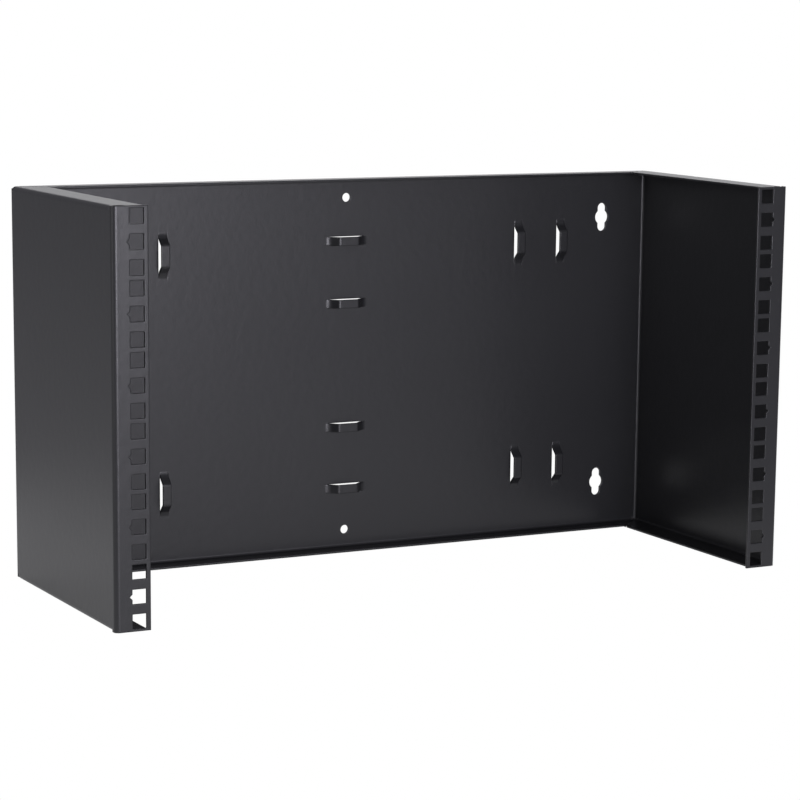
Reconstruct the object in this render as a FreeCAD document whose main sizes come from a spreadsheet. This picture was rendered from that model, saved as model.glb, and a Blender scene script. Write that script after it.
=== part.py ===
import FreeCAD, Part
import math
import os
import Sketcher

# An open wall mount frame for six rack units: one steel sheet, punched, lanced and folded.
# The origin is the centre of the wall face. +Z is up, the frame opens towards -Y, and +X is to the
# right of someone facing the rails. Sizes are in millimetres.

DIMENSIONS = {
    # sheet and folds
    "sheet_thickness": 1.5,
    "bend_inside_radius": 1.8,
    # overall sizes
    "rack_units": 6,
    "unit_height": 44.45,
    "frame_depth": 184.2,
    "rail_opening": 450.0,
    "rail_width": 23.9,
    # square holes of the rails
    "hole_column_inset": 7.55,
    "hole_step": 15.875,
    "rail_hole_size": 9.5,
    "notch_height": 3.5,
    "notch_depth": 1.75,
    # lips along the top and bottom edges
    "side_lip_width": 20.8,
    "back_lip_width": 16.0,
    "corner_post_width": 4.6,
    "corner_post_drop": 1.5,
    "relief_width": 0.8,
    "relief_extra": 0.6,
    "mitre_gap": 1.0,
    "lip_front_setback": 5.5,
    "tongue_inset": 9.4,
    "tongue_gap": 0.6,
    "tongue_radius": 3.0,
    # wall fixing holes
    "round_hole_diameter": 6.35,
    "round_hole_edge_distance": 13.85,
    "keyhole_side_inset": 37.6,
    "keyhole_edge_distance": 33.65,
    "keyhole_head_diameter": 11.1,
    "keyhole_slot_width": 6.9,
    "keyhole_height": 20.7,
    # lanced bridges
    "bridge_width": 6.1,
    "bridge_length": 33.0,
    "bridge_rise": 5.8,
    "bridge_foot": 3.3,
    "bridge_ramp": 5.55,
    "bridge_foot_bend": 6.8,
    "bridge_crown_bend": 1.2,
    "bridge_side_gap": 0.1,
    "outer_bridge_inset": 73.2,
    "upright_bridge_step": 35.5,
    "upright_bridge_edge_distance": 50.25,
    "upright_bridge_pair": 2,
    "level_bridge_pair": 2,
    # reach of the punches to each side of the sheet face, and past its edge
    "punch_reach": 3.0,
}

DERIVED = {
    "half_height": "rack_units * unit_height / 2",
    "unit_centre_z": "half_height - unit_height / 2",
    "rail_edge_x": "rail_opening / 2",
    "side_outer_x": "rail_edge_x + rail_width",
    "side_inner_x": "side_outer_x - sheet_thickness",
    "rail_back_y": "sheet_thickness - frame_depth",
    "bend_outside_radius": "bend_inside_radius + sheet_thickness",
    "punch_length": "2 * punch_reach",
    "hole_column_x": "rail_edge_x + hole_column_inset",
    "half_hole": "rail_hole_size / 2",
    "lower_hole_bottom": "-hole_step - half_hole",
    "lower_hole_top": "half_hole - hole_step",
    "upper_hole_bottom": "hole_step - half_hole",
    "upper_hole_top": "hole_step + half_hole",
    "half_notch": "notch_height / 2",
    "notch_tip": "half_hole + notch_depth",
    # edges of the lips, their folds and the corner reliefs; a mitre runs along x = offset + y
    "fold_z": "half_height - bend_outside_radius",
    "relief_floor_z": "fold_z - relief_extra",
    "post_top_z": "half_height - corner_post_drop",
    "trim_top_z": "half_height + punch_reach",
    "trim_side_x": "side_outer_x + punch_reach",
    "lip_under_z": "half_height - sheet_thickness",
    "side_fold_x": "side_outer_x - bend_outside_radius",
    "side_lip_inner_x": "side_outer_x - side_lip_width",
    "side_lip_front_y": "lip_front_setback - frame_depth",
    "side_lip_start": "corner_post_width + relief_width",
    "side_lip_length": "-side_lip_start - side_lip_front_y",
    "tongue_root_y": "side_lip_front_y + tongue_radius",
    "tongue_x": "side_outer_x - tongue_inset",
    "tongue_front_y": "rail_back_y + tongue_gap",
    "back_relief_x": "side_outer_x - corner_post_width",
    "back_lip_end_x": "back_relief_x - relief_width",
    "back_mitre_offset": "back_lip_end_x + bend_outside_radius",
    "side_mitre_offset": "back_mitre_offset + mitre_gap * sqrt(2)",
    "side_mitre_rear_x": "side_mitre_offset - side_lip_start",
    "side_mitre_inner_y": "side_lip_inner_x - side_mitre_offset",
    "back_mitre_inner_x": "back_mitre_offset + side_mitre_inner_y",
    # wall fixing holes
    "round_hole_radius": "round_hole_diameter / 2",
    "round_hole_z": "half_height - round_hole_edge_distance",
    "keyhole_x": "side_outer_x - keyhole_side_inset",
    "keyhole_z": "half_height - keyhole_edge_distance",
    "keyhole_head_radius": "keyhole_head_diameter / 2",
    "keyhole_slot_radius": "keyhole_slot_width / 2",
    "keyhole_slot_reach": "keyhole_height / 2 - keyhole_slot_radius",
    # half profile of a lanced bridge, with its corners measured before rounding
    "bridge_end": "bridge_length / 2",
    "foot_front": "bridge_end - bridge_foot",
    "crown_front": "foot_front - bridge_ramp",
    "ramp_length": "sqrt(bridge_ramp ^ 2 + bridge_rise ^ 2)",
    "ramp_shift": "sheet_thickness * (ramp_length - bridge_ramp) / bridge_rise",
    "foot_rear": "foot_front - ramp_shift",
    "crown_rear": "crown_front - ramp_shift",
    "crown_front_out": "sheet_thickness + bridge_rise",
    "foot_outside_radius": "bridge_foot_bend + sheet_thickness",
    "crown_outside_radius": "bridge_crown_bend + sheet_thickness",
    "half_bridge": "bridge_width / 2",
    "half_opening": "half_bridge + bridge_side_gap",
    "upright_bridge_x": "side_outer_x - outer_bridge_inset",
    "upright_bridge_side_x": "upright_bridge_x - half_bridge",
    "upright_bridge_z": "half_height - upright_bridge_edge_distance",
    "level_bridge_side_z": "unit_height - half_bridge",
}

SHEET = "dims"
# How a sketch constraint names the start, the end and the centre of an edge, and the sketch origin
START, END, CENTRE = range(1, 4)
ORIGIN_POINT = (-1, START)


def fill_spreadsheet(doc):
    """Write the driving sizes, then the sizes worked out from them, each under its own alias."""
    sheet = doc.addObject("Spreadsheet::Sheet", SHEET)
    for row, (name, size) in enumerate(DIMENSIONS.items(), start=1):
        sheet.set(f"A{row}", name)
        sheet.set(f"B{row}", str(size))
        sheet.setAlias(f"B{row}", name)
    for row, (name, formula) in enumerate(DERIVED.items(), start=1):
        sheet.set(f"C{row}", name)
        sheet.set(f"D{row}", "=" + formula)
        sheet.setAlias(f"D{row}", name)
    doc.recompute()
    return sheet


class SheetMetal:
    """A body that takes every size from the spreadsheet; a term is an alias, -alias or 0."""

    def __init__(self, doc, sheet, label):
        self.doc = doc
        self.sheet = sheet
        self.body = doc.addObject("PartDesign::Body", label)
        self.body.Label = label
        self.references = {item.Role: item for item in self.body.Origin.OriginFeatures}

    def number(self, term):
        """The present value of a term."""
        if term == "0":
            return 0.0
        sign = -1.0 if term.startswith("-") else 1.0
        return sign * float(self.sheet.get(term.lstrip("-")))

    def bind(self, item, path, term):
        """Tie one property of an item to a term."""
        sign = "-" if term.startswith("-") else ""
        item.setExpression(path, f"{sign}{SHEET}.{term.lstrip('-')}")

    def sketch(self, name, plane, shift=("0", "0", "0")):
        """A sketch on one origin plane, moved along its own two axes and its normal."""
        sketch = self.body.newObject("Sketcher::SketchObject", name)
        sketch.AttachmentSupport = (self.references[plane], [""])
        sketch.MapMode = "FlatFace"
        for axis, term in zip("xyz", shift):
            if term != "0":
                self.bind(sketch, f"AttachmentOffset.Base.{axis}", term)
        self.doc.recompute()
        return sketch

    def fix_point(self, sketch, geometry, point, place):
        """Hold a point at two terms measured from the sketch origin."""
        for kind, term in zip(("DistanceX", "DistanceY"), place):
            value = self.number(term)
            row = sketch.addConstraint(
                Sketcher.Constraint(kind, *ORIGIN_POINT, geometry, point, value))
            if term != "0":
                self.bind(sketch, f"Constraints[{row}]", term)

    def fix_radius(self, sketch, geometry, term):
        """Hold the radius of an arc or circle."""
        row = sketch.addConstraint(Sketcher.Constraint("Radius", geometry, self.number(term)))
        self.bind(sketch, f"Constraints[{row}]", term)

    def outline(self, sketch, corners):
        """A closed outline through corners (across, up, radius or None), rounded where asked."""
        points = [FreeCAD.Vector(self.number(across), self.number(up), 0) for across, up, _ in corners]
        guides = self.guide_polygon(sketch, points, corners)
        roundings = [
            rounding(points[index - 1], point, points[(index + 1) % len(points)],
                     self.number(corners[index][2]) if corners[index][2] else 0.0)
            for index, point in enumerate(points)
        ]
        edges = []
        for index, (_, _, leave) in enumerate(roundings):
            arrive = roundings[(index + 1) % len(points)][1]
            edges.append(sketch.addGeometry(Part.LineSegment(leave, arrive), False))
        for index, (arc, _, _) in enumerate(roundings):
            before, after = edges[index - 1], edges[index]
            if arc is None:
                sketch.addConstraint(Sketcher.Constraint("Coincident", before, END, guides[index], START))
                sketch.addConstraint(Sketcher.Constraint("Coincident", after, START, guides[index], START))
                continue
            self.round_corner(sketch, arc, before, after, corners[index][2])
            for edge, point, guide in ((before, END, guides[index - 1]), (after, START, guides[index])):
                sketch.addConstraint(Sketcher.Constraint("PointOnObject", edge, point, guide))

    def guide_polygon(self, sketch, points, corners):
        """Construction lines through the sharp corners, which carry the sizes of an outline."""
        guides = [
            sketch.addGeometry(Part.LineSegment(point, points[(index + 1) % len(points)]), True)
            for index, point in enumerate(points)
        ]
        for index, guide in enumerate(guides):
            following = guides[(index + 1) % len(guides)]
            sketch.addConstraint(Sketcher.Constraint("Coincident", guide, END, following, START))
            self.fix_point(sketch, guide, START, corners[index][:2])
        return guides

    def round_corner(self, sketch, arc, before, after, radius):
        """Lay an arc between two edges, tangent to both."""
        curve, turns_left = arc
        rounded = sketch.addGeometry(curve, False)
        first, last = (START, END) if turns_left else (END, START)
        sketch.addConstraint(Sketcher.Constraint("Tangent", before, END, rounded, first))
        sketch.addConstraint(Sketcher.Constraint("Tangent", rounded, last, after, START))
        self.fix_radius(sketch, rounded, radius)

    def circle(self, sketch, place, radius):
        """A full circle about a place given by two terms."""
        centre = FreeCAD.Vector(self.number(place[0]), self.number(place[1]), 0)
        curve = Part.Circle(centre, FreeCAD.Vector(0, 0, 1), self.number(radius))
        circle = sketch.addGeometry(curve, False)
        self.fix_point(sketch, circle, CENTRE, place)
        self.fix_radius(sketch, circle, radius)

    def upright_slot(self, sketch, reach, radius):
        """A round-ended slot about the sketch origin; its end centres lie at +reach and -reach."""
        size = self.number(radius)
        ends = []
        for sign, start_angle in (("", 0.0), ("-", math.pi)):
            centre = FreeCAD.Vector(0, self.number(sign + reach), 0)
            curve = Part.Circle(centre, FreeCAD.Vector(0, 0, 1), size)
            arc = Part.ArcOfCircle(curve, start_angle, start_angle + math.pi)
            ends.append(sketch.addGeometry(arc, False))
            self.fix_point(sketch, ends[-1], CENTRE, ("0", sign + reach))
        self.fix_radius(sketch, ends[0], radius)
        sketch.addConstraint(Sketcher.Constraint("Equal", ends[0], ends[1]))
        for leaving, arriving, side in ((ends[0], ends[1], -size), (ends[1], ends[0], size)):
            height = math.copysign(self.number(reach), -side)
            line = Part.LineSegment(FreeCAD.Vector(side, height, 0), FreeCAD.Vector(side, -height, 0))
            edge = sketch.addGeometry(line, False)
            sketch.addConstraint(Sketcher.Constraint("Tangent", leaving, END, edge, START))
            sketch.addConstraint(Sketcher.Constraint("Tangent", edge, END, arriving, START))

    def pad(self, name, sketch, length):
        """Add material from a sketch along its normal."""
        pad = self.body.newObject("PartDesign::Pad", name)
        pad.Profile = sketch
        self.bind(pad, "Length", length)
        self.doc.recompute()
        return pad

    def punch(self, name, sketch):
        """Cut a sketch through the sheet it lies on, the same reach to each side."""
        before = self.body.Shape.Volume
        punch = self.body.newObject("PartDesign::Pocket", name)
        punch.Profile = sketch
        punch.SideType = "Symmetric"
        self.bind(punch, "Length", "punch_length")
        self.doc.recompute()
        if punch.Shape.Volume >= before:
            raise RuntimeError(f"{name} removes nothing")
        return punch

    def repeat(self, name, originals, axis, spacing, count, backwards=False):
        """Repeat features along one origin axis."""
        pattern = self.body.newObject("PartDesign::LinearPattern", name)
        pattern.Originals = originals
        pattern.Direction = (self.references[axis], [""])
        pattern.Reversed = backwards
        pattern.Mode = "Spacing"
        self.bind(pattern, "Offset", spacing)
        self.bind(pattern, "Occurrences", count)
        self.body.Tip = pattern
        self.doc.recompute()
        return pattern

    def mirror_all(self, name, plane):
        """Add the mirror image of everything made so far."""
        mirror = self.body.newObject("PartDesign::Mirrored", name)
        mirror.TransformMode = "Whole shape"
        mirror.MirrorPlane = (self.references[plane], [""])
        self.body.Tip = mirror
        self.doc.recompute()
        return mirror


def rounding(before, corner, after, radius):
    """The arc of a rounded corner with its turning side, and the points where it starts and ends."""
    if not radius:
        return None, corner, corner
    arriving = (corner - before).normalize()
    leaving = (after - corner).normalize()
    turn = math.atan2(arriving.cross(leaving).z, arriving.dot(leaving))
    setback = radius * math.tan(abs(turn) / 2)
    start = corner - arriving * setback
    finish = corner + leaving * setback
    side = 1.0 if turn > 0 else -1.0
    centre = start + FreeCAD.Vector(-arriving.y, arriving.x, 0) * radius * side
    angles = [math.atan2(point.y - centre.y, point.x - centre.x) for point in (start, finish)]
    if turn < 0:
        angles.reverse()
    curve = Part.ArcOfCircle(Part.Circle(centre, FreeCAD.Vector(0, 0, 1), radius), *angles)
    return (curve, turn > 0), start, finish


def add_channel(metal):
    """Upper right quarter of the back, side and rail, full height up to the top edge."""
    sketch = metal.sketch("channel_plan", "XY_Plane")
    metal.outline(sketch, [
        ("0", "0", None),
        ("side_outer_x", "0", "bend_outside_radius"),
        ("side_outer_x", "-frame_depth", "bend_outside_radius"),
        ("rail_edge_x", "-frame_depth", None),
        ("rail_edge_x", "rail_back_y", None),
        ("side_inner_x", "rail_back_y", "bend_inside_radius"),
        ("side_inner_x", "-sheet_thickness", "bend_inside_radius"),
        ("0", "-sheet_thickness", None),
    ])
    metal.pad("channel", sketch, "half_height")


def trim_top_edges(metal):
    """Take the sheet away where the lips fold, and lower the corner post between its relief slots."""
    back = metal.sketch("back_trim_outline", "XZ_Plane")
    metal.outline(back, [
        ("0", "fold_z", None),
        ("back_lip_end_x", "fold_z", None),
        ("back_lip_end_x", "relief_floor_z", None),
        ("back_relief_x", "relief_floor_z", None),
        ("back_relief_x", "post_top_z", None),
        ("trim_side_x", "post_top_z", None),
        ("trim_side_x", "trim_top_z", None),
        ("0", "trim_top_z", None),
    ])
    metal.punch("back_trim", back)
    side = metal.sketch("side_trim_outline", "YZ_Plane", ("0", "0", "side_outer_x"))
    metal.outline(side, [
        ("side_lip_front_y", "fold_z", None),
        ("-side_lip_start", "fold_z", None),
        ("-side_lip_start", "relief_floor_z", None),
        ("-corner_post_width", "relief_floor_z", None),
        ("-corner_post_width", "post_top_z", None),
        ("punch_reach", "post_top_z", None),
        ("punch_reach", "trim_top_z", None),
        ("side_lip_front_y", "trim_top_z", None),
    ])
    metal.punch("side_trim", side)


def add_back_lip(metal):
    """Fold and lip of the back panel, which ends square at the corner relief until it is mitred."""
    profile = metal.sketch("back_lip_profile", "YZ_Plane")
    metal.outline(profile, [
        ("0", "relief_floor_z", None),
        ("0", "half_height", "bend_outside_radius"),
        ("-back_lip_width", "half_height", None),
        ("-back_lip_width", "lip_under_z", None),
        ("-sheet_thickness", "lip_under_z", "bend_inside_radius"),
        ("-sheet_thickness", "relief_floor_z", None),
    ])
    metal.pad("back_lip", profile, "back_lip_end_x")


def add_side_lip(metal):
    """Fold and lip of the side panel, and the tongue of the lip that reaches up to the rail."""
    profile = metal.sketch("side_lip_profile", "XZ_Plane", ("0", "0", "side_lip_start"))
    metal.outline(profile, [
        ("side_outer_x", "relief_floor_z", None),
        ("side_outer_x", "half_height", "bend_outside_radius"),
        ("side_lip_inner_x", "half_height", None),
        ("side_lip_inner_x", "lip_under_z", None),
        ("side_inner_x", "lip_under_z", "bend_inside_radius"),
        ("side_inner_x", "relief_floor_z", None),
    ])
    metal.pad("side_lip", profile, "side_lip_length")
    tongue = metal.sketch("tongue_plan", "XY_Plane", ("0", "0", "lip_under_z"))
    metal.outline(tongue, [
        ("side_lip_inner_x", "tongue_root_y", None),
        ("side_lip_inner_x", "tongue_front_y", None),
        ("tongue_x", "tongue_front_y", None),
        ("tongue_x", "side_lip_front_y", "tongue_radius"),
        ("side_fold_x", "side_lip_front_y", None),
        ("side_fold_x", "tongue_root_y", None),
    ])
    metal.pad("tongue", tongue, "sheet_thickness")


def mitre_lips(metal):
    """Part the two lips at the rear corner with a slanted gap."""
    sketch = metal.sketch("mitre_outline", "XY_Plane", ("0", "0", "lip_under_z"))
    metal.outline(sketch, [
        ("back_lip_end_x", "-bend_outside_radius", None),
        ("back_mitre_inner_x", "side_mitre_inner_y", None),
        ("side_lip_inner_x", "side_mitre_inner_y", None),
        ("side_mitre_rear_x", "-side_lip_start", None),
        ("back_lip_end_x", "-side_lip_start", None),
    ])
    metal.punch("mitre", sketch)


def punch_wall_holes(metal):
    """Round hole on the centre line, and the keyhole that works whichever way up the frame hangs."""
    sketch = metal.sketch("round_hole_outline", "XZ_Plane")
    metal.circle(sketch, ("0", "round_hole_z"), "round_hole_radius")
    metal.punch("round_hole", sketch)
    place = ("keyhole_x", "keyhole_z", "0")
    head = metal.sketch("keyhole_head_outline", "XZ_Plane", place)
    metal.circle(head, ("0", "0"), "keyhole_head_radius")
    metal.punch("keyhole_head", head)
    slot = metal.sketch("keyhole_slot_outline", "XZ_Plane", place)
    metal.upright_slot(slot, "keyhole_slot_reach", "keyhole_slot_radius")
    metal.punch("keyhole_slot", slot)


def bridge_half_profile():
    """Corners (along, out, radius) of half a bridge, from its crown round its foot and back."""
    return [
        ("crown_front", "-crown_front_out", "crown_outside_radius"),
        ("foot_front", "-sheet_thickness", "bridge_foot_bend"),
        ("bridge_end", "-sheet_thickness", None),
        ("bridge_end", "0", None),
        ("foot_rear", "0", "foot_outside_radius"),
        ("crown_rear", "-bridge_rise", "bridge_crown_bend"),
    ]


def lance_upright_bridges(metal):
    """Two bridges that stand upright, side by side, the outer one made first."""
    place = ("upright_bridge_x", "upright_bridge_z", "0")
    opening = metal.sketch("upright_opening_outline", "XZ_Plane", place)
    metal.outline(opening, [
        ("-half_opening", "-bridge_end", None),
        ("half_opening", "-bridge_end", None),
        ("half_opening", "bridge_end", None),
        ("-half_opening", "bridge_end", None),
    ])
    punch = metal.punch("upright_opening", opening)
    half = [(out, along, radius) for along, out, radius in bridge_half_profile()]
    other_half = [(out, "-" + along, radius) for out, along, radius in reversed(half)]
    profile = metal.sketch(
        "upright_bridge_profile", "YZ_Plane", ("0", "upright_bridge_z", "upright_bridge_side_x"))
    metal.outline(profile, half + other_half)
    bridge = metal.pad("upright_bridge", profile, "bridge_width")
    metal.repeat("upright_bridges", [punch, bridge], "X_Axis",
                 "upright_bridge_step", "upright_bridge_pair", backwards=True)


def lance_level_bridges(metal):
    """Right halves of two level bridges on the centre line, one and two rack units up."""
    opening = metal.sketch("level_opening_outline", "XZ_Plane", ("0", "unit_height", "0"))
    metal.outline(opening, [
        ("0", "-half_opening", None),
        ("bridge_end", "-half_opening", None),
        ("bridge_end", "half_opening", None),
        ("0", "half_opening", None),
    ])
    punch = metal.punch("level_opening", opening)
    profile = metal.sketch("level_bridge_profile", "XY_Plane", ("0", "0", "level_bridge_side_z"))
    crown = [("0", "-crown_front_out", None)]
    underside = [("0", "-bridge_rise", None)]
    metal.outline(profile, crown + bridge_half_profile() + underside)
    bridge = metal.pad("level_bridge", profile, "bridge_width")
    metal.repeat("level_bridges", [punch, bridge], "Z_Axis", "unit_height", "level_bridge_pair")


def punch_rail_holes(metal):
    """Three square holes for each rack unit, the middle one with a pointed notch outwards."""
    place = ("hole_column_x", "unit_centre_z", "frame_depth")
    sketch = metal.sketch("rail_hole_outline", "XZ_Plane", place)
    for bottom, top in (("lower_hole_bottom", "lower_hole_top"), ("upper_hole_bottom", "upper_hole_top")):
        metal.outline(sketch, [
            ("-half_hole", bottom, None),
            ("half_hole", bottom, None),
            ("half_hole", top, None),
            ("-half_hole", top, None),
        ])
    metal.outline(sketch, [
        ("-half_hole", "-half_hole", None),
        ("half_hole", "-half_hole", None),
        ("half_hole", "-half_notch", None),
        ("notch_tip", "0", None),
        ("half_hole", "half_notch", None),
        ("half_hole", "half_hole", None),
        ("-half_hole", "half_hole", None),
    ])
    punch = metal.punch("rail_holes", sketch)
    metal.repeat("rail_hole_column", [punch], "Z_Axis",
                 "unit_height", "rack_units", backwards=True)


def check(doc, shape):
    """Stop if any feature failed or the finished shape isn't one sound solid."""
    for item in doc.Objects:
        if "Invalid" in item.State or "Error" in item.State:
            raise RuntimeError(f"{item.Label} failed: {item.State}")
        if item.isDerivedFrom("Sketcher::SketchObject") and item.solve() != 0:
            raise RuntimeError(f"{item.Label} isn't solved")
    if shape.isNull() or not shape.isValid() or len(shape.Solids) != 1:
        raise RuntimeError("the folded frame isn't one sound solid")


def main():
    doc = FreeCAD.newDocument("wall_mount_frame")
    metal = SheetMetal(doc, fill_spreadsheet(doc), "folded_frame")
    add_channel(metal)
    trim_top_edges(metal)
    add_back_lip(metal)
    add_side_lip(metal)
    mitre_lips(metal)
    punch_wall_holes(metal)
    lance_upright_bridges(metal)
    lance_level_bridges(metal)
    metal.mirror_all("both_edges", "XY_Plane")
    punch_rail_holes(metal)
    metal.mirror_all("both_sides", "YZ_Plane")
    doc.recompute()
    check(doc, metal.body.Shape)
    os.makedirs("parts", exist_ok=True)
    metal.body.Shape.exportStep(f"parts/{metal.body.Label}.step")


main()
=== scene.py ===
import math

import bmesh
import bpy
from mathutils import Matrix, Vector


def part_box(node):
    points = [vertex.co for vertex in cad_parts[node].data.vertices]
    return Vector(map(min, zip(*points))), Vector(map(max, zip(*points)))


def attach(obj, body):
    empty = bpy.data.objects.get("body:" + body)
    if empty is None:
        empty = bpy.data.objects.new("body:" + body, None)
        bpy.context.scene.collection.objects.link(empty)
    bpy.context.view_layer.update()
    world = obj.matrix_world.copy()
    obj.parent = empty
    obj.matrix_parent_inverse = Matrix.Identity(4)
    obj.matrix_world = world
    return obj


# The finished look of the open wall mount frame: one folded steel sheet in black powder coat,
# on a pale studio floor. Lengths are in metres, in the part's own frame: +Z is up, the frame
# opens towards -Y, and +X is to the right of someone facing the rails.

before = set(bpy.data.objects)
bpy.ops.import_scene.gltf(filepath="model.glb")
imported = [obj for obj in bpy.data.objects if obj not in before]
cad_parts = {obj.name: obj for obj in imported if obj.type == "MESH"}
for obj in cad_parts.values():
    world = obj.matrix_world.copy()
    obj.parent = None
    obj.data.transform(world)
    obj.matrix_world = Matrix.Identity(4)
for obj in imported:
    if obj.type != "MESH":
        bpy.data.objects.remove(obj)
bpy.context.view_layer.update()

IMAGE_WIDTH_PX = 800
WHITE = (1.0, 1.0, 1.0, 1.0)

# Camera: where it stands, where it looks and how long its lens is
CAMERA_PLACE = (-0.86673, -1.76311, 0.26456)
CAMERA_YAW_DEG = 27.363
CAMERA_PITCH_DEG = 10.455
CAMERA_ROLL_DEG = 0.546
CAMERA_FOCAL_PX = 2767.8
CAMERA_RISE_PX = 100
CAMERA_SIGHT = 50.0
SENSOR_WIDTH_MM = 36.0

# Powder coat: fine pebbles on slow waves, with a roughness that drifts across the sheet
COAT_COLOUR = (0.0165, 0.0168, 0.0182, 1.0)
COAT_ROUGHNESS = 0.33
COAT_ROUGHNESS_SPREAD = 0.05
COAT_SPECULAR = 0.5
COAT_GRAIN_SIZE = 0.0009
COAT_GRAIN_DETAIL = 3.0
COAT_GRAIN_DEPTH = 0.00004
COAT_PEEL_SIZE = 0.0055
COAT_PEEL_DETAIL = 1.0
COAT_PEEL_SHARE = 1.8
COAT_FINE_SHARE = 0.55
COAT_DRIFT_SCALE = 9.0
COAT_DRIFT_DETAIL = 2.0
NOISE_MIDDLE = 0.5
EDGE_ROUNDING = 0.001
EDGE_SAMPLES = 12

# Folds: facets that meet below this angle are shaded as one curve, and values that agree
# to this many digits are taken as the same
FOLD_ANGLE_DEG = 40.0
NORMAL_DIGITS = 3
OFFSET_DIGITS = 5
PLACE_DIGITS = 6

# Rear corners: where the folds meet, the relief and the mitre are closed with weld and ground flush
FOLD_OUTSIDE_RADIUS = 0.0033
WELD_REACH = 0.0056
WELD_INSET = 0.00005
WELD_THICKNESS = 0.0014
WELD_SEGMENTS = 6
WELD_ROUND_PROFILE = 0.5
WELD_BODY_INWARD = -1.0
MITRE_START = 0.005
MITRE_END = 0.0159
MITRE_SIDE_OFFSET = 0.0006
MITRE_BACK_OFFSET = 0.0022
CORNERS = {
    "left_top": (-1, 1),
    "left_bottom": (-1, -1),
    "right_top": (1, 1),
    "right_bottom": (1, -1),
}

# Studio
FLOOR_SIZE = 12.0
FLOOR_COLOUR = (0.82, 0.82, 0.82, 1.0)
# Painted pool of light on the floor: a glow round the frame that only the coat's reflections see,
# lit by no lamp
FLOOR_SHEEN = 0.34
FLOOR_SHEEN_EDGE = 0.3
FLOOR_SHEEN_REACH = 0.7
SURROUND = 0.25
SURROUND_COLOUR = (0.97, 0.96, 1.06, 1.0)
SOFTBOX_TARGET = (0.0, 0.0, 0.0)
SOFTBOXES = {
    "front softbox": {
        "place": (-0.1, -2.8, 0.2), "size": (1.1, 0.55), "power": 37.0, "colour": (0.99, 0.97, 1.08),
    },
    "front right softbox": {
        "place": (0.5, -2.75, 0.15), "size": (0.9, 0.5), "power": 3.6, "colour": (1.0, 0.98, 1.04),
    },
    "left softbox": {
        "place": (-2.4, -0.4, 0.8), "size": (1.2, 1.2), "power": 16.6, "colour": (1.0, 1.0, 1.0),
    },
    "rear softbox": {
        "place": (1.3, 2.5, 0.55), "size": (2.0, 1.0), "power": 5.75, "colour": (1.0, 1.0, 1.0),
    },
    "rear right softbox": {
        "place": (2.5, 1.2, 1.0), "size": (1.2, 1.0), "power": 14.0, "colour": (1.0, 1.0, 1.0),
    },
}


def add_group_input(group, name, default):
    """A named number that a node group takes."""
    socket = group.interface.new_socket(name=name, in_out="INPUT", socket_type="NodeSocketFloat")
    socket.default_value = default


def add_group_output(group, name):
    """A named number that a node group gives."""
    group.interface.new_socket(name=name, in_out="OUTPUT", socket_type="NodeSocketFloat")


def add_waves(nodes, links, size, place, detail):
    """Soft noise whose lumps are as wide as the size that drives it."""
    frequency = nodes.new("ShaderNodeMath")
    frequency.operation = "DIVIDE"
    frequency.inputs[0].default_value = 1.0
    links.new(size, frequency.inputs[1])
    waves = nodes.new("ShaderNodeTexNoise")
    waves.inputs["Detail"].default_value = detail
    waves.inputs["Roughness"].default_value = COAT_FINE_SHARE
    links.new(place, waves.inputs["Vector"])
    links.new(frequency.outputs["Value"], waves.inputs["Scale"])
    return waves


def build_grain_group():
    """Skin of a powder coat: pebbles on slow waves as a height, and a roughness that drifts."""
    group = bpy.data.node_groups.new("powder coat grain", "ShaderNodeTree")
    add_group_input(group, "Grain Size", COAT_GRAIN_SIZE)
    add_group_input(group, "Peel Size", COAT_PEEL_SIZE)
    add_group_input(group, "Peel Share", COAT_PEEL_SHARE)
    add_group_input(group, "Roughness", COAT_ROUGHNESS)
    add_group_input(group, "Roughness Spread", COAT_ROUGHNESS_SPREAD)
    add_group_output(group, "Height")
    add_group_output(group, "Roughness")
    nodes, links = group.nodes, group.links
    inputs = nodes.new("NodeGroupInput")
    outputs = nodes.new("NodeGroupOutput")
    place = nodes.new("ShaderNodeTexCoord").outputs["Object"]
    pebbles = add_waves(nodes, links, inputs.outputs["Grain Size"], place, COAT_GRAIN_DETAIL)
    peel = add_waves(nodes, links, inputs.outputs["Peel Size"], place, COAT_PEEL_DETAIL)
    height = nodes.new("ShaderNodeMath")
    height.operation = "MULTIPLY_ADD"
    links.new(peel.outputs["Fac"], height.inputs[0])
    links.new(inputs.outputs["Peel Share"], height.inputs[1])
    links.new(pebbles.outputs["Fac"], height.inputs[2])
    drift = nodes.new("ShaderNodeTexNoise")
    drift.inputs["Scale"].default_value = COAT_DRIFT_SCALE
    drift.inputs["Detail"].default_value = COAT_DRIFT_DETAIL
    links.new(place, drift.inputs["Vector"])
    centred = nodes.new("ShaderNodeMath")
    centred.operation = "SUBTRACT"
    centred.inputs[1].default_value = NOISE_MIDDLE
    links.new(drift.outputs["Fac"], centred.inputs[0])
    varied = nodes.new("ShaderNodeMath")
    varied.operation = "MULTIPLY_ADD"
    links.new(centred.outputs["Value"], varied.inputs[0])
    links.new(inputs.outputs["Roughness Spread"], varied.inputs[1])
    links.new(inputs.outputs["Roughness"], varied.inputs[2])
    links.new(height.outputs["Value"], outputs.inputs["Height"])
    links.new(varied.outputs["Value"], outputs.inputs["Roughness"])
    return group


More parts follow.
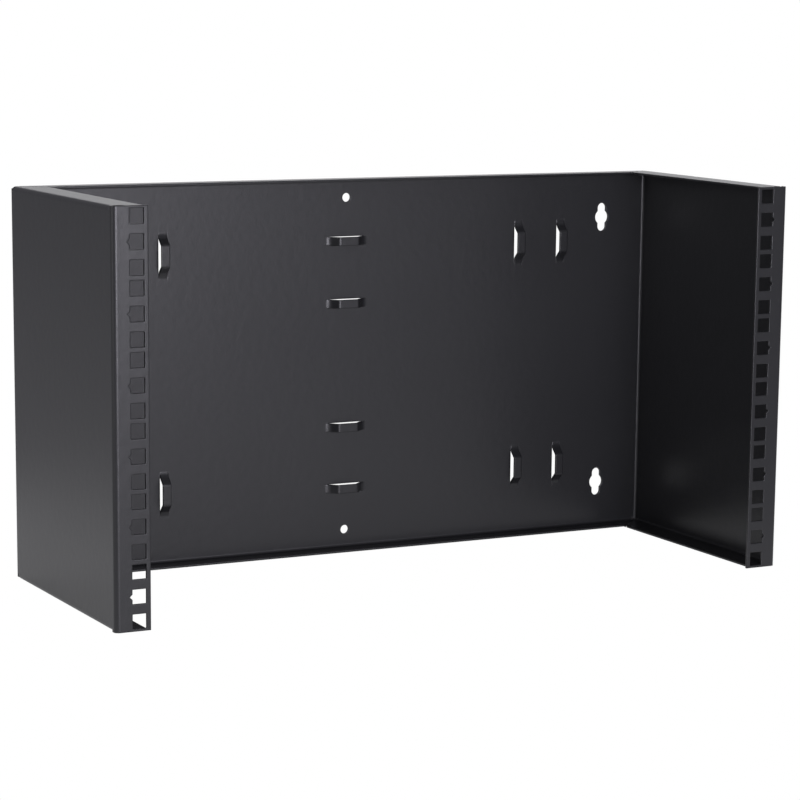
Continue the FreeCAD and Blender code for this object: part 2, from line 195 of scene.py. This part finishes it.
def build_powder_coat(grain):
    """Black semi-gloss powder coat, a little rounded along every cut edge."""
    material = bpy.data.materials.new("black powder coat")
    material.use_nodes = True
    nodes, links = material.node_tree.nodes, material.node_tree.links
    shader = nodes["Principled BSDF"]
    shader.inputs["Base Color"].default_value = COAT_COLOUR
    shader.inputs["Specular IOR Level"].default_value = COAT_SPECULAR
    skin = nodes.new("ShaderNodeGroup")
    skin.node_tree = grain
    skin.inputs["Grain Size"].default_value = COAT_GRAIN_SIZE
    skin.inputs["Peel Size"].default_value = COAT_PEEL_SIZE
    skin.inputs["Peel Share"].default_value = COAT_PEEL_SHARE
    skin.inputs["Roughness"].default_value = COAT_ROUGHNESS
    skin.inputs["Roughness Spread"].default_value = COAT_ROUGHNESS_SPREAD
    bump = nodes.new("ShaderNodeBump")
    bump.inputs["Distance"].default_value = COAT_GRAIN_DEPTH
    rounded = nodes.new("ShaderNodeBevel")
    rounded.samples = EDGE_SAMPLES
    rounded.inputs["Radius"].default_value = EDGE_ROUNDING
    links.new(rounded.outputs["Normal"], bump.inputs["Normal"])
    links.new(skin.outputs["Height"], bump.inputs["Height"])
    links.new(skin.outputs["Roughness"], shader.inputs["Roughness"])
    links.new(bump.outputs["Normal"], shader.inputs["Normal"])
    return material


def plane_of(face, mesh):
    """A key shared by all the triangles that lie in one plane."""
    offset = face.normal.dot(mesh.vertices[face.vertices[0]].co)
    slope = tuple(round(value, NORMAL_DIGITS) for value in face.normal)
    return slope + (round(offset, OFFSET_DIGITS),)


def smooth_folds(mesh):
    """Shade the facets of each fold as one curve, while the flat faces beside it stay flat."""
    limit = math.cos(math.radians(FOLD_ANGLE_DEG))
    planes = [plane_of(face, mesh) for face in mesh.polygons]
    areas = {}
    for face, plane in zip(mesh.polygons, planes):
        areas[plane] = areas.get(plane, 0.0) + face.area
    meetings = {}
    for face in mesh.polygons:
        for loop in face.loop_indices:
            place = mesh.vertices[mesh.loops[loop].vertex_index].co
            key = tuple(round(value, PLACE_DIGITS) for value in place)
            meetings.setdefault(key, []).append((loop, face))
    normals = [None] * len(mesh.loops)
    for corners in meetings.values():
        met = {planes[face.index]: face.normal.copy() for _, face in corners}
        for loop, face in corners:
            blend = Vector((0.0, 0.0, 0.0))
            for plane, normal in met.items():
                if normal.dot(face.normal) >= limit:
                    blend += areas[plane] * normal
            normals[loop] = blend.normalized()
    mesh.shade_smooth()
    mesh.normals_split_custom_set(normals)


def coat_frame(node, material):
    """Give the folded sheet its coat and smooth its folds without touching its shape."""
    node.data.materials.clear()
    node.data.materials.append(material)
    smooth_folds(node.data)


def round_corner(mesh):
    """Three faces that meet in a round corner, measured inward from the sheet's outer faces."""
    reach = WELD_REACH - WELD_INSET
    for vertex in bmesh.ops.create_cube(mesh, size=reach)["verts"]:
        vertex.co += Vector.Fill(3, reach / 2 + WELD_INSET)
    tip = min(mesh.verts, key=lambda vertex: vertex.co.length)
    bmesh.ops.bevel(
        mesh, geom=list(tip.link_edges), offset=FOLD_OUTSIDE_RADIUS - WELD_INSET,
        segments=WELD_SEGMENTS, profile=WELD_ROUND_PROFILE, affect="EDGES",
    )
    inner_limit = (reach + WELD_REACH) / 2
    inner = [face for face in mesh.faces if max(face.calc_center_median()) > inner_limit]
    bmesh.ops.delete(mesh, geom=inner, context="FACES")


def fill_mitre(mesh):
    """The strip of weld between the two lips, which runs inward from the round corner."""
    outline = (
        (MITRE_START + MITRE_SIDE_OFFSET, MITRE_START),
        (MITRE_END + MITRE_SIDE_OFFSET, MITRE_END),
        (MITRE_END + MITRE_BACK_OFFSET, MITRE_END),
        (MITRE_START + MITRE_BACK_OFFSET, MITRE_START),
    )
    mesh.faces.new([mesh.verts.new((across, along, WELD_INSET)) for across, along in outline])


def build_corner_weld(name, side, level, material):
    """Weld that closes one rear corner, ground flush with the sheet and coated with it."""
    low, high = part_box("folded_frame")
    mesh = bmesh.new()
    round_corner(mesh)
    fill_mitre(mesh)
    for vertex in mesh.verts:
        across, along, down = vertex.co
        x = high.x - across if side > 0 else low.x + across
        z = high.z - down if level > 0 else low.z + down
        vertex.co = (x, high.y - along, z)
    if side * level > 0:
        bmesh.ops.reverse_faces(mesh, faces=mesh.faces[:])
    data = bpy.data.meshes.new(name)
    mesh.to_mesh(data)
    mesh.free()
    data.shade_smooth()
    data.materials.append(material)
    weld = bpy.data.objects.new(name, data)
    bpy.context.scene.collection.objects.link(weld)
    body = weld.modifiers.new("thickness", "SOLIDIFY")
    body.thickness = WELD_THICKNESS
    body.offset = WELD_BODY_INWARD
    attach(weld, "root")


def link_seen_directly(nodes, links):
    """1 for rays that come straight from the camera or through a clear thing, and 0 for the rest."""
    path = nodes.new("ShaderNodeLightPath")
    either = nodes.new("ShaderNodeMath")
    either.operation = "MAXIMUM"
    links.new(path.outputs["Is Camera Ray"], either.inputs[0])
    links.new(path.outputs["Is Transmission Ray"], either.inputs[1])
    return either.outputs["Value"]


def build_world():
    """A dim even surround for the coat, seen as white behind the object."""
    world = bpy.data.worlds.new("studio")
    bpy.context.scene.world = world
    world.use_nodes = True
    nodes, links = world.node_tree.nodes, world.node_tree.links
    nodes.clear()
    seen = nodes.new("ShaderNodeBackground")
    seen.inputs["Color"].default_value = WHITE
    seen.inputs["Strength"].default_value = 1.0
    light = nodes.new("ShaderNodeBackground")
    light.inputs["Color"].default_value = SURROUND_COLOUR
    light.inputs["Strength"].default_value = SURROUND
    mix = nodes.new("ShaderNodeMixShader")
    output = nodes.new("ShaderNodeOutputWorld")
    links.new(link_seen_directly(nodes, links), mix.inputs["Fac"])
    links.new(light.outputs["Background"], mix.inputs[1])
    links.new(seen.outputs["Background"], mix.inputs[2])
    links.new(mix.outputs["Shader"], output.inputs["Surface"])


def build_painted_sheen_group():
    """Brightness of the painted pool of light on the floor round the frame: a glow, lit by no lamp,
    that only the coat's reflections see.
    """
    group = bpy.data.node_groups.new("painted floor sheen", "ShaderNodeTree")
    add_group_input(group, "Reach", FLOOR_SHEEN_REACH)
    add_group_input(group, "Edge", FLOOR_SHEEN_EDGE)
    add_group_input(group, "Strength", FLOOR_SHEEN)
    add_group_output(group, "Brightness")
    nodes, links = group.nodes, group.links
    inputs = nodes.new("NodeGroupInput")
    outputs = nodes.new("NodeGroupOutput")
    place = nodes.new("ShaderNodeTexCoord")
    distance = nodes.new("ShaderNodeVectorMath")
    distance.operation = "LENGTH"
    links.new(place.outputs["Object"], distance.inputs[0])
    fade = nodes.new("ShaderNodeMapRange")
    fade.interpolation_type = "SMOOTHSTEP"
    fade.inputs["To Max"].default_value = 0.0
    links.new(distance.outputs["Value"], fade.inputs["Value"])
    links.new(inputs.outputs["Edge"], fade.inputs["From Min"])
    links.new(inputs.outputs["Reach"], fade.inputs["From Max"])
    links.new(inputs.outputs["Strength"], fade.inputs["To Min"])
    links.new(fade.outputs["Result"], outputs.inputs["Brightness"])
    return group


def build_floor(lowest):
    """A wide pale floor that the frame stands on: white when seen directly, and to the coat a matt
    floor under the lamps, with a painted pool of light round the frame that glows without a lamp."""
    bpy.ops.mesh.primitive_plane_add(size=FLOOR_SIZE, location=(0.0, 0.0, lowest))
    floor = bpy.context.object
    floor.name = "studio floor"
    material = bpy.data.materials.new("pale floor")
    material.use_nodes = True
    nodes, links = material.node_tree.nodes, material.node_tree.links
    nodes.clear()
    matt = nodes.new("ShaderNodeBsdfDiffuse")
    matt.inputs["Color"].default_value = FLOOR_COLOUR
    path = nodes.new("ShaderNodeLightPath")
    sheen = nodes.new("ShaderNodeGroup")
    sheen.node_tree = build_painted_sheen_group()
    mirrored = nodes.new("ShaderNodeMath")
    mirrored.operation = "MULTIPLY"
    links.new(sheen.outputs["Brightness"], mirrored.inputs[0])
    links.new(path.outputs["Is Glossy Ray"], mirrored.inputs[1])
    # Painted pool of light: an emission that shows only in reflections, not light from any lamp
    pool = nodes.new("ShaderNodeEmission")
    links.new(mirrored.outputs["Value"], pool.inputs["Strength"])
    lit = nodes.new("ShaderNodeAddShader")
    links.new(matt.outputs["BSDF"], lit.inputs[0])
    links.new(pool.outputs["Emission"], lit.inputs[1])
    white = nodes.new("ShaderNodeEmission")
    white.inputs["Color"].default_value = WHITE
    white.inputs["Strength"].default_value = 1.0
    mix = nodes.new("ShaderNodeMixShader")
    output = nodes.new("ShaderNodeOutputMaterial")
    links.new(link_seen_directly(nodes, links), mix.inputs["Fac"])
    links.new(lit.outputs["Shader"], mix.inputs[1])
    links.new(white.outputs["Emission"], mix.inputs[2])
    links.new(mix.outputs["Shader"], output.inputs["Surface"])
    floor.data.materials.append(material)


def add_softbox(name, box):
    """A rectangular soft light that faces the frame."""
    light = bpy.data.lights.new(name, "AREA")
    light.shape = "RECTANGLE"
    light.size, light.size_y = box["size"]
    light.energy = box["power"]
    light.color = box["colour"]
    lamp = bpy.data.objects.new(name, light)
    bpy.context.scene.collection.objects.link(lamp)
    lamp.location = box["place"]
    aim = Vector(SOFTBOX_TARGET) - Vector(box["place"])
    lamp.rotation_euler = aim.to_track_quat("-Z", "Y").to_euler()


def add_camera():
    """The camera, turned by yaw to the right of +Y, then pitched down and rolled."""
    yaw = math.radians(CAMERA_YAW_DEG)
    pitch = math.radians(CAMERA_PITCH_DEG)
    roll = math.radians(CAMERA_ROLL_DEG)
    ahead = Vector((
        math.sin(yaw) * math.cos(pitch),
        math.cos(yaw) * math.cos(pitch),
        -math.sin(pitch),
    ))
    level = Vector((math.cos(yaw), -math.sin(yaw), 0.0))
    above = level.cross(ahead)
    right = level * math.cos(roll) + above * math.sin(roll)
    up = above * math.cos(roll) - level * math.sin(roll)
    turn = Matrix((right, up, -ahead)).transposed().to_4x4()
    data = bpy.data.cameras.new("camera")
    data.sensor_width = SENSOR_WIDTH_MM
    data.lens = CAMERA_FOCAL_PX * SENSOR_WIDTH_MM / IMAGE_WIDTH_PX
    data.shift_y = CAMERA_RISE_PX / IMAGE_WIDTH_PX
    data.clip_end = CAMERA_SIGHT
    camera = bpy.data.objects.new("camera", data)
    bpy.context.scene.collection.objects.link(camera)
    camera.matrix_world = Matrix.Translation(CAMERA_PLACE) @ turn
    bpy.context.scene.camera = camera


powder_coat = build_powder_coat(build_grain_group())
coat_frame(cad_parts["folded_frame"], powder_coat)
for corner_name, (corner_side, corner_level) in CORNERS.items():
    build_corner_weld(f"corner_weld_{corner_name}", corner_side, corner_level, powder_coat)
build_world()
lowest_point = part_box("folded_frame")[0].z
build_floor(lowest_point)
for box_name, box in SOFTBOXES.items():
    add_softbox(box_name, box)
add_camera()
bpy.context.scene.view_settings.view_transform = "Standard"
